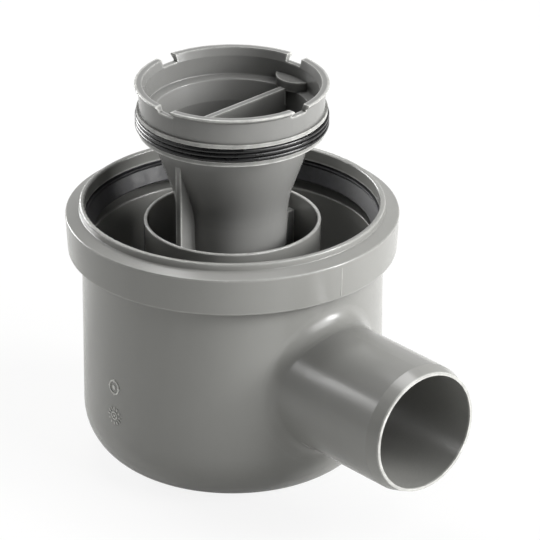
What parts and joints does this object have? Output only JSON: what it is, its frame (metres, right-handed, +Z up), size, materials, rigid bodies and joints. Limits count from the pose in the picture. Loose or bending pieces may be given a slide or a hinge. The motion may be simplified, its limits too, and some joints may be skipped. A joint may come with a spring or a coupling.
{
  "type": "floor drain body with water trap",
  "caption": "Cup-shaped grey floor drain body with a wide sealed pipe socket on top, a level side outlet spigot and a removable funnel-shaped water trap standing inside.",
  "frame": {"origin": "centre of the flat base, on the body's upright axis", "axes": "+Z up along the socket's axis, +X along the outlet spigot, towards its open end"},
  "size_m": [0.1743, 0.1274, 0.1537],
  "materials": {
    "body_polypropylene": "satin",
    "socket_seal_rubber": "satin",
    "cup_polypropylene": "satin",
    "insert_polypropylene": "satin",
    "insert_seal_rubber": "satin"
  },
  "bodies": {
    "root": {"drain_body": "body_polypropylene", "socket_seal": "socket_seal_rubber", "trap_cup": "cup_polypropylene", "trap_insert": "insert_polypropylene", "insert_seal": "insert_seal_rubber"}
  },
  "joints": []
}
